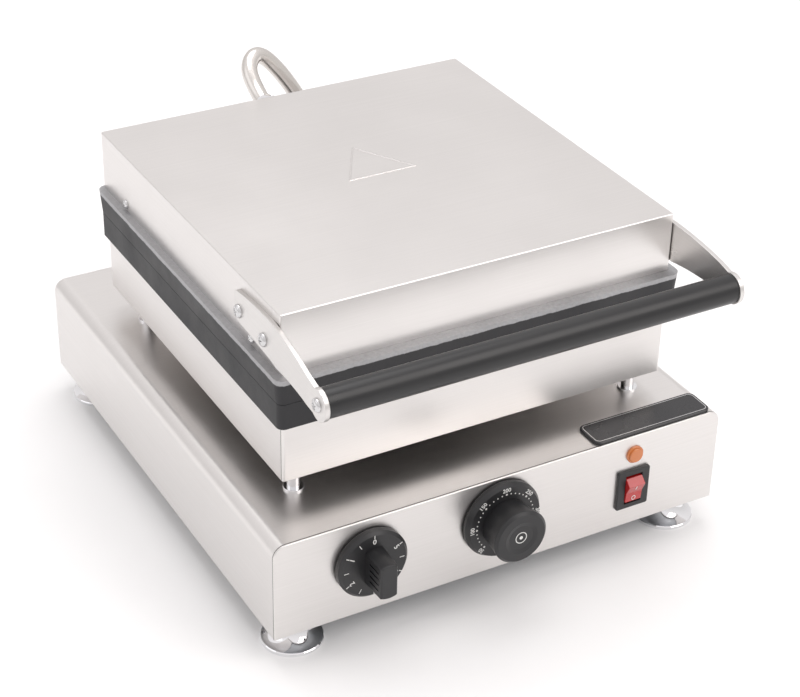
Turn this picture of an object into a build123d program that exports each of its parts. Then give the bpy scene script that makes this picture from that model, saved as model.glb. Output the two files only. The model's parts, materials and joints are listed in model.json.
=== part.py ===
from build123d import *
from math import atan, cos, degrees, pi, radians, sin, tan
import os

os.makedirs("parts", exist_ok=True)

# Driving dimensions in millimetres. Front faces -Y, up is +Z, the feet stand on Z = 0.

# Base casing: a folded sheet with its own front, rear and bottom plates
base_width = 340.0
base_depth = 374.0
base_height = 72.5
base_bend = 9.0
sheet = 1.2
lip = 13.0
foot_height = 21.0
foot_radius = 21.0
foot_neck = 8.5
foot_inset_x = 23.0
foot_inset_y = 22.0
foot_stud = 4.0

# Posts that carry the lower housing above the base
post_height = 17.5
post_radius = 4.5
post_inset = 14.5
post_rear_setback = 290.0
post_stud = 2.5
washer_radius = 7.0
washer_height = 1.6
duct_radius = 12.0

# Lower housing
housing_width = 288.0
housing_depth = 282.4
housing_setback = 38.8
housing_height = 42.9

# Cast mould plates
plate_width = 296.6
plate_depth = 289.2
plate_setback = 33.6
plate_thickness = 18.0
plate_corner = 5.0
plate_flare = 1.6
parting_gap = 0.3
cavity_radius = 23.0
cavity_wall = 4.0
cavity_pitch = 62.0
cavity_rows = 4
element_radius = 4.25
clamp_thickness = 2.0
plate_stud = 3.0
pad_thickness = 11.0

# Lid cover
cover_width = 288.6
cover_depth = 284.4
cover_setback = 39.4
cover_height = 42.3
lug_length = 16.0
lug_height = 11.0
triangle_side = 52.0
triangle_hole = 48.6
triangle_setback = 192.6
triangle_height = 0.4

# Handle
handle_radius = 9.75
handle_half = 147.5
handle_wall = 1.5
handle_setback = -22.0
handle_lift = 16.2
bracket_thickness = 3.0
bracket_end_radius = 10.6

# Hinge
hinge_setback = 338.0
hinge_x = 85.0
hinge_pin = 4.0
hinge_fit = 0.05
barrel_radius = 7.0
leaf_thickness = 3.0
barrel_length = 14.0
barrel_play = 0.5
lid_barrel_length = 11.0
leaf_half = 30.0
leaf_screw_x = 24.0
leaf_screw = 2.0
leaf_screw_head = 3.6

# Controls on the front plate
timer_x = -102.6
timer_z = 41.0
timer_skirt = 25.0
thermostat_x = -5.4
thermostat_z = 42.0
thermostat_skirt = 28.5
knob_reach = 27.5
knob_gap = 1.0
skirt_thickness = 6.0
shaft_radius = 3.0
switch_x = 100.3
switch_z = 30.8
switch_width = 25.5
switch_height = 30.6
lamp_z = 57.8
lamp_radius = 6.5

# Rear fittings
inlet_reach = 14.0
inlet_x = 110.0
inlet_z = 30.0
conduit_radius = 6.0
gland_radius = 9.5
gland_nut = 5.0
gland_length = 10.0
base_gland_x = 40.0
base_gland_inset = 20.0
base_gland_nut = 6.0
base_gland_height = 12.0
lid_gland_x = -12.0
lid_gland_lift = 32.0

# Small clearance between pieces that fit into each other
clearance = 0.3

# Places worked out from the sizes above
front_reach = bracket_end_radius - handle_setback
front = front_reach - (front_reach + base_depth + inlet_reach) / 2
rear = front + base_depth
base_top = foot_height + base_height
housing_bottom = base_top + post_height
housing_top = housing_bottom + housing_height
parting = housing_top + plate_thickness + parting_gap / 2
rim_top = parting + parting_gap / 2 + plate_thickness
cover_top = rim_top + cover_height
plate_y = front + plate_setback + plate_depth / 2
housing_y = front + housing_setback + housing_depth / 2
cover_y = front + cover_setback + cover_depth / 2
handle_y = front + handle_setback
handle_z = rim_top + handle_lift
hinge_y = front + hinge_setback
hinge_z = parting
foot_x = base_width / 2 - foot_inset_x
foot_y = base_depth / 2 - foot_inset_y
base_y = front + base_depth / 2
screw_x = base_width / 2 - lip / 2 - sheet
screw_y = base_depth / 2 - 60
post_x = housing_width / 2 - post_inset
post_rows = (front + housing_setback + post_inset, front + post_rear_setback)
post_points = [(x, y) for y in post_rows for x in (-post_x, post_x)]
base_gland_at = (base_gland_x, rear - base_gland_inset)
hinge_screws_x = [x + step for x in (-hinge_x, hinge_x) for step in (-leaf_screw_x, leaf_screw_x)]
lid_gland_z = rim_top + lid_gland_lift
cavity_outer = cavity_radius + cavity_wall
boss_depth = cavity_outer - plate_thickness


def facing(y):
    """Plane across the part at a given Y: sketch x is X, sketch y is Z."""
    return Plane.XZ.offset(-y)


def side(x):
    """Plane along the part at a given X: sketch x is Y, sketch y is Z."""
    return Plane.YZ.offset(x)


def write(piece, name):
    """Label a finished piece and write its file."""
    piece.part.label = name
    export_step(piece.part, f"parts/{name}.step")


def corners(x, y, centre_y):
    """The four points at plus and minus x and y around a centre."""
    return [(sx * x, centre_y + sy * y) for sy in (-1, 1) for sx in (-1, 1)]


# Base casing: one outline for the wrap and for both end plates

with BuildSketch() as casing_outline:
    with BuildLine():
        half = base_width / 2
        Polyline((-half, foot_height), (-half, base_top), (half, base_top), (half, foot_height), close=True)
    make_face()
    fillet(casing_outline.vertices().group_by(Axis.Y)[-1], base_bend)

with BuildPart() as base_wrap:
    length = base_depth - 2 * sheet
    with BuildSketch(facing(front + sheet)):
        add(casing_outline.sketch)
    extrude(amount=-length)
    with BuildSketch(facing(front + sheet)):
        add(casing_outline.sketch)
        offset(amount=-sheet, kind=Kind.INTERSECTION, mode=Mode.REPLACE)
    extrude(amount=-length, mode=Mode.SUBTRACT)
    with BuildSketch(Plane.XY.offset(foot_height)):
        with Locations((0, base_y)):
            Rectangle(base_width - 2 * lip, length)
    extrude(amount=sheet, mode=Mode.SUBTRACT)
    with BuildSketch(Plane.XY.offset(base_top - sheet)):
        with Locations(*post_points):
            Circle(post_stud + clearance)
        with Locations((0, housing_y)):
            Circle(duct_radius - 2)
        with Locations(base_gland_at):
            Circle(conduit_radius)
    extrude(amount=sheet, mode=Mode.SUBTRACT)
    with BuildSketch(Plane.XY.offset(foot_height)):
        with Locations(*corners(screw_x, screw_y, base_y)):
            Circle(1.75)
    extrude(amount=sheet, mode=Mode.SUBTRACT)
write(base_wrap, "base_wrap")


def end_plate(y):
    """Flat plate with the casing's outline, one sheet thick, from y backwards."""
    with BuildPart() as plate:
        with BuildSketch(facing(y)):
            add(casing_outline.sketch)
        extrude(amount=-sheet)
    return plate


knob_hole = shaft_radius + 2.0
lamp_hole = lamp_radius - 1.0
switch_hole = (switch_width - 4, switch_height - 4)
with BuildPart() as front_panel:
    add(end_plate(front).part)
    chamfer(front_panel.faces().sort_by(Axis.Y)[0].edges(), 0.4)
    with BuildSketch(facing(front)):
        with Locations((timer_x, foot_height + timer_z), (thermostat_x, foot_height + thermostat_z)):
            Circle(knob_hole)
        with Locations((switch_x, foot_height + lamp_z)):
            Circle(lamp_hole)
        with Locations((switch_x, foot_height + switch_z)):
            Rectangle(*switch_hole)
    extrude(amount=-sheet, mode=Mode.SUBTRACT)
write(front_panel, "front_panel")

vent_count = 9
vent_pitch = 14.0
inlet_hole = 8.0
with BuildPart() as rear_panel:
    add(end_plate(rear - sheet).part)
    with BuildSketch(facing(rear - sheet)):
        with Locations((-60, foot_height + 36)):
            with GridLocations(vent_pitch, 0, vent_count, 1):
                SlotOverall(34, 5, rotation=90)
        with Locations((inlet_x, foot_height + inlet_z)):
            Circle(inlet_hole)
        with Locations((inlet_x + 32, foot_height + inlet_z)):
            Circle(2.3)
    extrude(amount=-sheet, mode=Mode.SUBTRACT)
write(rear_panel, "rear_panel")

# Bottom plate, laid on the casing's lips and held by screws through them
bottom_z = foot_height + sheet
with BuildPart() as bottom_plate:
    with BuildSketch(Plane.XY.offset(bottom_z)):
        with Locations((0, base_y)):
            Rectangle(base_width - 2 * sheet - 2 * clearance, base_depth - 2 * sheet - 2 * clearance)
        with Locations(*corners(foot_x, foot_y, base_y)):
            Circle(foot_stud + clearance, mode=Mode.SUBTRACT)
        with Locations(*corners(screw_x, screw_y, base_y)):
            Circle(1.75, mode=Mode.SUBTRACT)
        with Locations((0, base_y)):
            with GridLocations(16, 60, 10, 2):
                SlotOverall(40, 5, rotation=90, mode=Mode.SUBTRACT)
    extrude(amount=sheet)
write(bottom_plate, "bottom_plate")

with BuildPart() as bottom_screws:
    head_top = foot_height
    for x, y in corners(screw_x, screw_y, base_y):
        with BuildSketch(Plane.XY.offset(head_top - 1.8)):
            with Locations((x, y)):
                Circle(3.2)
        extrude(amount=1.8)
        with BuildSketch(Plane.XY.offset(head_top)):
            with Locations((x, y)):
                Circle(1.7)
        extrude(amount=8)
write(bottom_screws, "bottom_screws")

# Bell-shaped feet with a threaded stud each, held by a nut inside
foot_top = foot_height + sheet
stud_length = 12.0
for name, (x, y) in zip(("foot_front_left", "foot_front_right", "foot_rear_left", "foot_rear_right"),
                        corners(foot_x, foot_y, base_y)):
    with BuildPart() as foot:
        with BuildSketch(Plane.XZ.offset(-y)):
            with BuildLine():
                Polyline((x, 4), (x, foot_top), (x + foot_neck, foot_top), (x + foot_neck, foot_height - 5))
                ThreePointArc((x + foot_neck, foot_height - 5), (x + 11.5, 7.6), (x + foot_radius - 0.6, 2.6))
                Polyline((x + foot_radius - 0.6, 2.6), (x + foot_radius, 2), (x + foot_radius, 0),
                         (x + foot_radius - 3, 0), (x + 9.5, 4), (x, 4))
            make_face()
        revolve(axis=Axis((x, y, 0), (0, 0, 1)))
        with BuildSketch(Plane.XY.offset(foot_top)):
            with Locations((x, y)):
                Circle(foot_stud)
        extrude(amount=stud_length)
    write(foot, name)

nut_seat = bottom_z + sheet
with BuildPart() as foot_nuts:
    for x, y in corners(foot_x, foot_y, base_y):
        with BuildSketch(Plane.XY.offset(nut_seat)):
            with Locations((x, y)):
                RegularPolygon(7.0, 6)
                Circle(foot_stud + 0.02, mode=Mode.SUBTRACT)
        extrude(amount=6)
write(foot_nuts, "foot_nuts")

# Posts between the base and the lower housing
with BuildPart() as posts:
    with BuildSketch(Plane.XY.offset(base_top + washer_height)):
        with Locations(*post_points):
            Circle(post_radius)
            Circle(post_stud + 0.02, mode=Mode.SUBTRACT)
    extrude(amount=post_height - washer_height)
write(posts, "posts")

with BuildPart() as post_washers:
    for x, y in post_points:
        with BuildSketch(Plane.XY.offset(base_top)):
            with Locations((x, y)):
                Circle(washer_radius)
                Circle(post_stud + 0.2, mode=Mode.SUBTRACT)
        extrude(amount=washer_height)
    rims = post_washers.edges().filter_by(GeomType.CIRCLE).group_by(Axis.Z)[-1]
    fillet(rims.sort_by(SortBy.RADIUS)[-4:], 0.5)
write(post_washers, "post_washers")

stud_bottom = base_top - sheet - 7
with BuildPart() as post_studs:
    for x, y in post_points:
        with BuildSketch(Plane.XY.offset(stud_bottom)):
            with Locations((x, y)):
                Circle(post_stud)
        extrude(amount=housing_bottom + sheet + 7 - stud_bottom)
write(post_studs, "post_studs")

with BuildPart() as post_nuts:
    for z in (base_top - sheet - 4, housing_bottom + sheet):
        for x, y in post_points:
            with BuildSketch(Plane.XY.offset(z)):
                with Locations((x, y)):
                    RegularPolygon(4.6, 6)
                    Circle(post_stud + 0.02, mode=Mode.SUBTRACT)
            extrude(amount=4)
write(post_nuts, "post_nuts")

with BuildPart() as wiring_duct:
    with BuildSketch(Plane.XY.offset(base_top)):
        with Locations((0, housing_y)):
            Circle(duct_radius)
            Circle(duct_radius - 1.5, mode=Mode.SUBTRACT)
    extrude(amount=post_height)
write(wiring_duct, "wiring_duct")

# Lower housing: an open tray under the lower mould plate
stud_grid_x = 1.5 * cavity_pitch
stud_grid_y = cavity_pitch
tie_points = corners(stud_grid_x, stud_grid_y, plate_y)
short_points = [(x, plate_y + y) for x in (-stud_grid_x, 0, stud_grid_x) for y in (-stud_grid_y, 0, stud_grid_y)
                if x == 0 or y == 0]
with BuildPart() as lower_housing:
    with BuildSketch(Plane.XY.offset(housing_bottom)):
        with Locations((0, housing_y)):
            RectangleRounded(housing_width, housing_depth, 1.8)
    extrude(amount=housing_height)
    with BuildSketch(Plane.XY.offset(housing_bottom + sheet)):
        with Locations((0, housing_y)):
            RectangleRounded(housing_width - 2 * sheet, housing_depth - 2 * sheet, 0.6)
    extrude(amount=housing_height, mode=Mode.SUBTRACT)
    with BuildSketch(Plane.XY.offset(housing_bottom)):
        with Locations(*post_points):
            Circle(post_stud + clearance)
        with Locations((0, housing_y)):
            Circle(duct_radius - 2)
        with Locations(*tie_points):
            Circle(plate_stud + clearance)
    extrude(amount=sheet, mode=Mode.SUBTRACT)
    with BuildSketch(facing(housing_y + housing_depth / 2)):
        with Locations(*[(x, housing_top - 16) for x in hinge_screws_x]):
            Circle(leaf_screw + 0.1)
    extrude(amount=sheet * 2, mode=Mode.SUBTRACT)
write(lower_housing, "lower_housing")


# Cast mould plates, the same casting below and above the parting line
cavity_offset = cavity_pitch * (cavity_rows - 1) / 2
flare_angle = degrees(atan(plate_flare / plate_thickness))


def mould_plate(face_z, up, flare):
    """Casting that grows from its moulding face at face_z upwards (up = 1) or downwards (up = -1)."""
    with BuildPart() as casting:
        with BuildSketch(Plane.XY.offset(face_z)):
            with Locations((0, plate_y)):
                RectangleRounded(plate_width, plate_depth, plate_corner)
        extrude(amount=up * plate_thickness, taper=-flare)
        with Locations((0, plate_y, face_z)):
            with GridLocations(cavity_pitch, cavity_pitch, cavity_rows, cavity_rows):
                Sphere(cavity_outer)
        with BuildSketch(Plane.XY.offset(face_z)):
            with Locations((0, plate_y)):
                Rectangle(2 * plate_width, 2 * plate_depth)
        extrude(amount=-up * 2 * cavity_outer, mode=Mode.SUBTRACT)
        with Locations((0, plate_y, face_z)):
            with GridLocations(cavity_pitch, cavity_pitch, cavity_rows, cavity_rows):
                Sphere(cavity_radius, mode=Mode.SUBTRACT)
    return casting


with BuildPart() as lower_mould_plate:
    add(mould_plate(parting - parting_gap / 2, -1, 0).part)
    with BuildSketch(Plane.XY.offset(housing_top)):
        with Locations(*tie_points, *short_points):
            Circle(plate_stud)
    extrude(amount=8, mode=Mode.SUBTRACT)
write(lower_mould_plate, "lower_mould_plate")

hinge_pad_front = front + plate_setback + plate_depth - 3
hinge_pad_rear = hinge_y - 10.0
lid_screw_z = parting + 10
lug_y = (front + 79.6, front + 281.9)
lug_face = cover_width / 2 - sheet - 0.1
lug_z = rim_top + 4.8
with BuildPart() as upper_mould_plate:
    add(mould_plate(parting + parting_gap / 2, 1, flare_angle).part)
    for x in (-hinge_x, hinge_x):
        with BuildSketch(Plane.XY.offset(parting + 2)):
            with Locations((x, (hinge_pad_front + hinge_pad_rear) / 2)):
                Rectangle(2 * leaf_half + 4, hinge_pad_rear - hinge_pad_front)
        extrude(amount=rim_top - parting - 3)
    for sx in (-1, 1):
        for y in lug_y:
            with BuildSketch(Plane.XY.offset(rim_top)):
                with Locations((sx * (lug_face - 5), y)):
                    Rectangle(10, lug_length)
            extrude(amount=lug_height)
    with BuildSketch(Plane.XY.offset(rim_top)):
        with Locations(*tie_points, *short_points):
            Circle(plate_stud)
    extrude(amount=-8, mode=Mode.SUBTRACT)
    with BuildSketch(facing(hinge_pad_rear)):
        with Locations(*[(x, lid_screw_z) for x in hinge_screws_x]):
            Circle(leaf_screw + 0.02)
    extrude(amount=7, mode=Mode.SUBTRACT)
    for y in lug_y:
        with BuildSketch(side(-lug_face)):
            with Locations((y, lug_z)):
                Circle(2.0)
        extrude(amount=8, mode=Mode.SUBTRACT)
        with BuildSketch(side(lug_face)):
            with Locations((y, lug_z)):
                Circle(2.0)
        extrude(amount=-8, mode=Mode.SUBTRACT)
write(upper_mould_plate, "upper_mould_plate")

# Heating elements: two hairpin tubes pressed against the back of each casting
leg_inner = cavity_pitch
leg_outer = leg_inner + 58.0
element_rear = plate_depth / 2 - 22
element_front = -plate_depth / 2 + 24


def heating_element(z):
    """Two hairpins of tube at height z, open towards the rear, each with two terminal pins."""
    turn = (leg_outer - leg_inner) / 2
    with BuildPart() as element:
        for s in (-1, 1):
            with BuildLine(Plane.XY.offset(z)) as run:
                near = (s * leg_inner, plate_y + element_rear)
                near_turn = (s * leg_inner, plate_y + element_front + turn)
                tip = (s * (leg_inner + turn), plate_y + element_front)
                far_turn = (s * leg_outer, plate_y + element_front + turn)
                far = (s * leg_outer, plate_y + element_rear)
                Line(near, near_turn)
                ThreePointArc(near_turn, tip, far_turn)
                Line(far_turn, far)
            with BuildSketch(Plane((*near, z), x_dir=(1, 0, 0), z_dir=(0, -1, 0))):
                Circle(element_radius)
            sweep(path=run.line)
            for x, y in (near, far):
                with BuildSketch(Plane((x, y, z), x_dir=(1, 0, 0), z_dir=(0, 1, 0))):
                    Circle(1.6)
                extrude(amount=9)
    return element


lower_element_z = housing_top - element_radius - 0.1
upper_element_z = rim_top + element_radius + 0.1
lower_element = heating_element(lower_element_z)
write(lower_element, "lower_heating_element")
upper_element = heating_element(upper_element_z)
write(upper_element, "upper_heating_element")


def clamp_plate(z):
    """Sheet that presses the heating element against the casting."""
    with BuildPart() as plate:
        with BuildSketch(Plane.XY.offset(z)):
            with Locations((0, plate_y)):
                RectangleRounded(2 * leg_outer + 14, 2 * (element_rear - 8), 8)
            with Locations(*tie_points, *short_points):
                Circle(plate_stud + clearance, mode=Mode.SUBTRACT)
        extrude(amount=clamp_thickness)
    return plate


seat_depth = max(boss_depth, 2 * element_radius) + 0.4
lower_clamp_z = housing_top - seat_depth - clamp_thickness
upper_clamp_z = rim_top + seat_depth
lower_clamp = clamp_plate(lower_clamp_z)
write(lower_clamp, "lower_element_clamp")
upper_clamp = clamp_plate(upper_clamp_z)
write(upper_clamp, "upper_element_clamp")


def studs(points, low, high):
    """Round threaded rods between two heights."""
    with BuildPart() as rods:
        for x, y in points:
            with BuildSketch(Plane.XY.offset(low)):
                with Locations((x, y)):
                    Circle(plate_stud - 0.02)
            extrude(amount=high - low)
    return rods


def nuts(points, z, height):
    """Hexagon nuts on the plate studs, seated at height z."""
    with BuildPart() as ring:
        for x, y in points:
            with BuildSketch(Plane.XY.offset(z)):
                with Locations((x, y)):
                    RegularPolygon(5.8, 6)
                    Circle(plate_stud, mode=Mode.SUBTRACT)
            extrude(amount=height)
    return ring


nut_height = 5.0
tie_foot = housing_bottom - 7
with BuildPart() as lower_studs:
    add(studs(short_points, lower_clamp_z - 7, housing_top + 7.5).part)
    add(studs(tie_points, tie_foot, housing_top + 7.5).part)
write(lower_studs, "lower_plate_studs")
upper_studs = studs(tie_points + short_points, rim_top - 7.5, upper_clamp_z + clamp_thickness + 7)
write(upper_studs, "upper_plate_studs")
with BuildPart() as lower_nuts:
    add(nuts(short_points + tie_points, lower_clamp_z - nut_height, nut_height).part)
    add(nuts(tie_points, housing_bottom - nut_height, nut_height).part)
write(lower_nuts, "lower_clamp_nuts")
upper_nuts = nuts(tie_points + short_points, upper_clamp_z + clamp_thickness, nut_height)
write(upper_nuts, "upper_clamp_nuts")


def insulation(z):
    """Fibre pad with round pockets for the nuts."""
    with BuildPart() as pad:
        with BuildSketch(Plane.XY.offset(z)):
            with Locations((0, plate_y)):
                Rectangle(2 * leg_outer + 14, 2 * (element_rear - 8))
            with Locations(*tie_points, *short_points):
                Circle(8, mode=Mode.SUBTRACT)
        extrude(amount=pad_thickness)
    return pad


lower_pad = insulation(lower_clamp_z - pad_thickness)
write(lower_pad, "lower_insulation")
upper_pad = insulation(upper_clamp_z + clamp_thickness)
write(upper_pad, "upper_insulation")

# Lid cover: a tray turned upside down over the upper casting
bracket_screws_at = ((front + 91.6, rim_top + 19.2), (front + 56.4, rim_top + 17.4))
with BuildPart() as cover:
    with BuildSketch(Plane.XY.offset(rim_top)):
        with Locations((0, cover_y)):
            RectangleRounded(cover_width, cover_depth, 1.2)
    extrude(amount=cover_height)
    chamfer(cover.faces().sort_by(Axis.Z)[-1].edges(), 0.5)
    with BuildSketch(Plane.XY.offset(rim_top)):
        with Locations((0, cover_y)):
            Rectangle(cover_width - 2 * sheet, cover_depth - 2 * sheet)
    extrude(amount=cover_height - sheet, mode=Mode.SUBTRACT)
    with BuildSketch(side(-base_width)):
        with Locations(*bracket_screws_at):
            Circle(2.5 + clearance)
        with Locations(*[(y, lug_z) for y in lug_y]):
            Circle(2.3)
    extrude(amount=2 * base_width, mode=Mode.SUBTRACT)
    with BuildSketch(facing(cover_y + cover_depth / 2)):
        with Locations((lid_gland_x, lid_gland_z)):
            Circle(conduit_radius)
    extrude(amount=sheet * 2, mode=Mode.SUBTRACT)
    with BuildSketch(Plane.XY.offset(cover_top)):
        with Locations((1.5, front + triangle_setback)):
            Triangle(a=triangle_side, b=triangle_side, c=triangle_side)
            Triangle(a=triangle_hole, b=triangle_hole, c=triangle_hole, mode=Mode.SUBTRACT)
    extrude(amount=triangle_height)
write(cover, "cover")

with BuildPart() as cover_screws:
    for s in (-1, 1):
        for y in lug_y:
            seat = s * cover_width / 2
            with BuildSketch(side(seat)):
                with Locations((y, lug_z)):
                    Circle(3.3)
            extrude(amount=s * 2.2)
            with BuildSketch(side(seat)):
                with Locations((y, lug_z)):
                    Circle(1.98)
            extrude(amount=-s * 8)
write(cover_screws, "cover_screws")

# Handle brackets: flat blades that step outwards in front of the cover
step_start = front + 48
step_end = front - 8
blade_bottom = rim_top + 11.6
blade_rear = front + 98.0


def handle_bracket(s):
    """Blade on the cover's side, s = -1 left or 1 right."""
    with BuildPart() as blade:
        with BuildSketch(side(0)):
            with BuildLine():
                Line((front + 38, rim_top + 6.8), (blade_rear, blade_bottom))
                Line((blade_rear, blade_bottom), (blade_rear, rim_top + 32))
                ThreePointArc((blade_rear, rim_top + 32), (front + 39.5, rim_top + 35.0),
                              (handle_y + 4, handle_z + bracket_end_radius - 0.8))
                Line((handle_y + 4, handle_z + bracket_end_radius - 0.8), (handle_y, handle_z - 9.5))
                ThreePointArc((handle_y, handle_z - 9.5), (front + 8, rim_top + 8.9), (front + 38, rim_top + 6.8))
            make_face()
            with Locations((handle_y, handle_z)):
                Circle(bracket_end_radius)
        extrude(amount=base_width / 2, both=True)
        fillet(blade.edges().filter_by(Axis.X).group_by(Axis.Y)[-1], 4)
        with BuildSketch(Plane.XY.offset(rim_top)):
            with BuildLine():
                inner = s * cover_width / 2
                outer = s * handle_half
                step = s * bracket_thickness
                Polyline((inner, blade_rear + 5), (inner, step_start), (outer, step_end), (outer, handle_y - 20),
                         (outer + step, handle_y - 20), (outer + step, step_end),
                         (inner + step, step_start), (inner + step, blade_rear + 5), close=True)
            make_face()
        extrude(amount=cover_height + 10, mode=Mode.INTERSECT)
        with BuildSketch(side(0)):
            with Locations(*bracket_screws_at):
                Circle(2.5 + clearance)
            with Locations((handle_y, handle_z)):
                Circle(2.5 + clearance)
        extrude(amount=s * base_width, mode=Mode.SUBTRACT)
    return blade


for name, s in (("handle_bracket_left", -1), ("handle_bracket_right", 1)):
    write(handle_bracket(s), name)

with BuildPart() as bracket_screws:
    for s in (-1, 1):
        for y, z in bracket_screws_at:
            seat = s * (cover_width / 2 + bracket_thickness)
            with BuildSketch(side(seat)):
                with Locations((y, z)):
                    Circle(4.6)
            extrude(amount=s * 2.8)
            with BuildSketch(side(seat)):
                with Locations((y, z)):
                    Circle(2.5)
            extrude(amount=-s * 12)
write(bracket_screws, "bracket_screws")

with BuildPart() as bracket_nuts:
    for s in (-1, 1):
        for y, z in bracket_screws_at:
            with BuildSketch(side(s * (cover_width / 2 - sheet))):
                with Locations((y, z)):
                    RegularPolygon(4.6, 6)
                    Circle(2.52, mode=Mode.SUBTRACT)
            extrude(amount=-s * 4)
write(bracket_nuts, "bracket_nuts")

# Handle: a tube over two plugs, clamped between the brackets by end screws
plug_length = 14.0
with BuildPart() as handle_tube:
    with BuildSketch(side(-handle_half)):
        with Locations((handle_y, handle_z)):
            Circle(handle_radius)
            Circle(handle_radius - handle_wall, mode=Mode.SUBTRACT)
    extrude(amount=2 * handle_half)
write(handle_tube, "handle_tube")

with BuildPart() as handle_plugs:
    for s in (-1, 1):
        with BuildSketch(side(s * handle_half)):
            with Locations((handle_y, handle_z)):
                Circle(handle_radius - handle_wall - 0.02)
                Circle(2.52, mode=Mode.SUBTRACT)
        extrude(amount=-s * plug_length)
write(handle_plugs, "handle_plugs")

with BuildPart() as handle_screws:
    for s in (-1, 1):
        seat = s * (handle_half + bracket_thickness)
        with BuildSketch(side(seat)):
            with Locations((handle_y, handle_z)):
                Circle(4.6)
        extrude(amount=s * 2.6)
        with BuildSketch(side(seat)):
            with Locations((handle_y, handle_z)):
                Circle(2.5)
        extrude(amount=-s * 15)
write(handle_screws, "handle_screws")

# Hinge: a fixed leaf with one barrel between the two barrels of the lid's leaf
housing_rear = housing_y + housing_depth / 2
lid_leaf_face = hinge_pad_rear


def fixed_leaf(x):
    """Leaf on the housing's rear wall, with an arm up to its barrel."""
    with BuildPart() as leaf:
        with BuildSketch(side(x - leaf_half)):
            with Locations((housing_rear, housing_top - 28)):
                Rectangle(4, 25, align=(Align.MIN, Align.MIN))
        extrude(amount=2 * leaf_half)
        with BuildSketch(side(x - barrel_length / 2)):
            with BuildLine():
                Polyline((housing_rear, housing_top - 28), (housing_rear + 5, housing_top - 28),
                         (hinge_y + barrel_radius - 1, hinge_z - 5), (hinge_y - 5, hinge_z - 5),
                         (housing_rear + 4, housing_top - 3), (housing_rear, housing_top - 3), close=True)
            make_face()
            with Locations((hinge_y, hinge_z)):
                Circle(barrel_radius)
        extrude(amount=barrel_length)
        with BuildSketch(side(x - barrel_length / 2)):
            with Locations((hinge_y, hinge_z)):
                Circle(hinge_pin + hinge_fit)
        extrude(amount=barrel_length, mode=Mode.SUBTRACT)
        with BuildSketch(facing(housing_rear)):
            with Locations((x - leaf_screw_x, housing_top - 16), (x + leaf_screw_x, housing_top - 16)):
                Circle(leaf_screw + 0.1)
        extrude(amount=-5, mode=Mode.SUBTRACT)
    return leaf


def lid_leaf(x):
    """Leaf on the upper casting's pad, with a barrel at each side of the fixed one."""
    with BuildPart() as leaf:
        half = barrel_length / 2 + barrel_play + lid_barrel_length
        with BuildSketch(side(x - half)):
            with Locations((lid_leaf_face, parting + 3)):
                Rectangle(leaf_thickness, rim_top - parting - 4, align=(Align.MIN, Align.MIN))
        extrude(amount=2 * half)
        with BuildSketch(side(x - leaf_half)):
            with Locations((lid_leaf_face, parting + 3)):
                Rectangle(leaf_thickness, rim_top - parting - 4, align=(Align.MIN, Align.MIN))
        extrude(amount=2 * leaf_half)
        with BuildSketch(facing(lid_leaf_face)):
            with Locations((x - leaf_screw_x, lid_screw_z), (x + leaf_screw_x, lid_screw_z)):
                Circle(leaf_screw + 0.1)
        extrude(amount=-leaf_thickness, mode=Mode.SUBTRACT)
        for low in (x - half, x + barrel_length / 2 + barrel_play):
            with BuildSketch(side(low)):
                with BuildLine():
                    Polyline((lid_leaf_face, parting + 3), (lid_leaf_face + 1, parting - 1), (hinge_y, hinge_z - 1),
                             (hinge_y + barrel_radius - 1, hinge_z + 3), (lid_leaf_face + leaf_thickness, parting + 13),
                             (lid_leaf_face, parting + 13), close=True)
                make_face()
                with Locations((hinge_y, hinge_z)):
                    Circle(barrel_radius)
            extrude(amount=lid_barrel_length)
            with BuildSketch(side(low)):
                with Locations((hinge_y, hinge_z)):
                    Circle(hinge_pin + hinge_fit)
            extrude(amount=lid_barrel_length, mode=Mode.SUBTRACT)
    return leaf


pin_half = barrel_length / 2 + barrel_play + lid_barrel_length + 2.5
with BuildPart() as hinge_fixed_leaves:
    for x in (-hinge_x, hinge_x):
        add(fixed_leaf(x).part)
write(hinge_fixed_leaves, "hinge_fixed_leaves")
with BuildPart() as hinge_lid_leaves:
    for x in (-hinge_x, hinge_x):
        add(lid_leaf(x).part)
write(hinge_lid_leaves, "hinge_lid_leaves")
with BuildPart() as hinge_pins:
    for x in (-hinge_x, hinge_x):
        with BuildSketch(side(x - pin_half)):
            with Locations((hinge_y, hinge_z)):
                Circle(hinge_pin)
        extrude(amount=2 * pin_half)
        with BuildSketch(side(x - pin_half)):
            with Locations((hinge_y, hinge_z)):
                Circle(hinge_pin + 1.6)
        extrude(amount=1.8)
write(hinge_pins, "hinge_pins")



def leaf_screws(seat, z, length):
    """Round-headed screws through the leaves whose rear face is at seat."""
    with BuildPart() as screws:
        for x in hinge_screws_x:
            with BuildSketch(facing(seat)):
                with Locations((x, z)):
                    Circle(leaf_screw_head)
            extrude(amount=-2.2)
            with BuildSketch(facing(seat)):
                with Locations((x, z)):
                    Circle(leaf_screw)
            extrude(amount=length)
    return screws


write(leaf_screws(housing_rear + 4, housing_top - 16, 9), "hinge_screws")
write(leaf_screws(lid_leaf_face + leaf_thickness, lid_screw_z, 9), "hinge_lid_screws")

# Conduit from the lid's rear wall to the top of the base, with a gland at each end.
# Its corners are chosen by hand; arcs join the straight runs.
cover_rear = cover_y + cover_depth / 2
lid_gland_face = cover_rear + gland_length
base_gland_top = base_top + base_gland_height
conduit_route = (
    (lid_gland_x, lid_gland_face, lid_gland_z),
    (lid_gland_x, lid_gland_face + 12, lid_gland_z + 4),
    (-13, front + 362, foot_height + 220),
    (1, front + 372, foot_height + 227),
    (21, front + 368, foot_height + 204),
    (39, front + 359, foot_height + 169),
    (*base_gland_at, foot_height + 120),
    (*base_gland_at, base_gland_top),
)


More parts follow.
